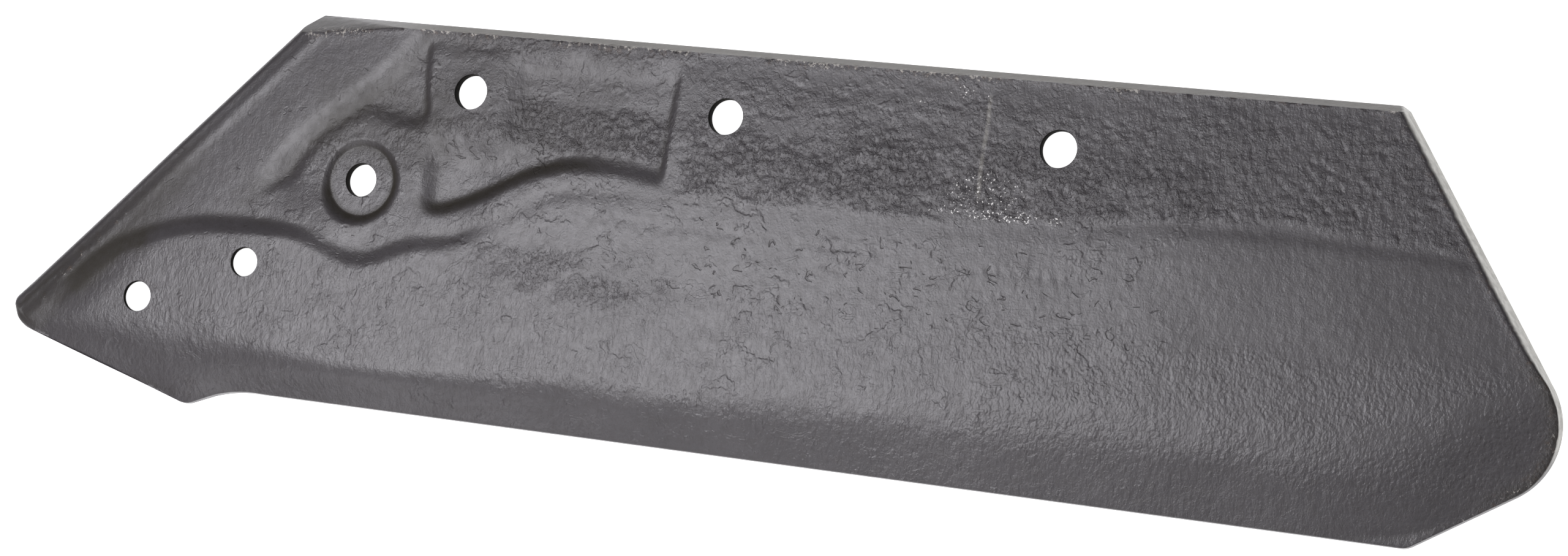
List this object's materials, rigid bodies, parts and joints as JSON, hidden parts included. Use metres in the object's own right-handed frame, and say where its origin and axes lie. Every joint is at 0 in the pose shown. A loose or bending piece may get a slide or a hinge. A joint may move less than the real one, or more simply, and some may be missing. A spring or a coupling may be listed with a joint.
{
  "type": "plough share",
  "caption": "Forged plough share with a raised nose, a ribbed back with a recessed nut seat, a bevelled cutting edge and plough bolt holes.",
  "frame": {"origin": "bottom centre of the bounding box, on the flat soil face that the share rests on", "axes": "+X along the bolt edge from the nose to the wing, +Y from the cutting edge to the bolt edge, +Z through the thickness out of the back"},
  "size_m": [0.5709, 0.147, 0.0122],
  "materials": {
    "forged_steel": "satin dark grey paint over forging scale"
  },
  "bodies": {
    "root": {"share": "forged_steel"}
  },
  "joints": []
}
